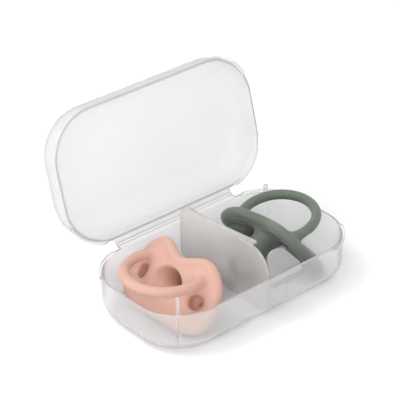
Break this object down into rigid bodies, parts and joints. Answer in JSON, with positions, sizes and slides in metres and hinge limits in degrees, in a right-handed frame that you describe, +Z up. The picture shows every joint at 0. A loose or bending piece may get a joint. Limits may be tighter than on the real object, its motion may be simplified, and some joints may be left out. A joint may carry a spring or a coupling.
{
  "type": "pacifier set in travel case",
  "caption": "Soft silicone pacifiers with drooping loop handles, lying on both sides of a divider in a frosted travel case with a domed lid on a living hinge.",
  "frame": {"origin": "middle of the case's flat underside", "axes": "+X along the hinge, towards the green pacifier's compartment; +Y from the latch side to the hinge side; +Z up"},
  "size_m": [0.11, 0.0951, 0.0818],
  "materials": {
    "frosted_polypropylene": "translucent, fine satin",
    "pink_silicone": "matte silicone",
    "green_silicone": "matte silicone"
  },
  "bodies": {
    "base": {"case_base": "frosted_polypropylene", "divider": "frosted_polypropylene", "hinge_web": "frosted_polypropylene"},
    "lid": {"case_lid": "frosted_polypropylene"},
    "pink_pacifier": {"pink_shield": "pink_silicone", "pink_teat": "pink_silicone", "pink_handle": "pink_silicone"},
    "green_pacifier": {"green_shield": "green_silicone", "green_teat": "green_silicone", "green_handle": "green_silicone"}
  },
  "joints": [
    {"name": "lid_hinge", "type": "hinge", "parent": "base", "child": "lid", "pos_m": [0, 0.0332, 0.01975], "axis": [1, 0, 0], "range_deg": [-70, 105.6]},
    {"name": "pink_lift", "type": "slide", "parent": "base", "child": "pink_pacifier", "axis": [0, 0, 1], "range_m": [0, 0.06]},
    {"name": "green_lift", "type": "slide", "parent": "base", "child": "green_pacifier", "axis": [0.3, 0, 0.9539], "range_m": [0, 0.06]}
  ]
}
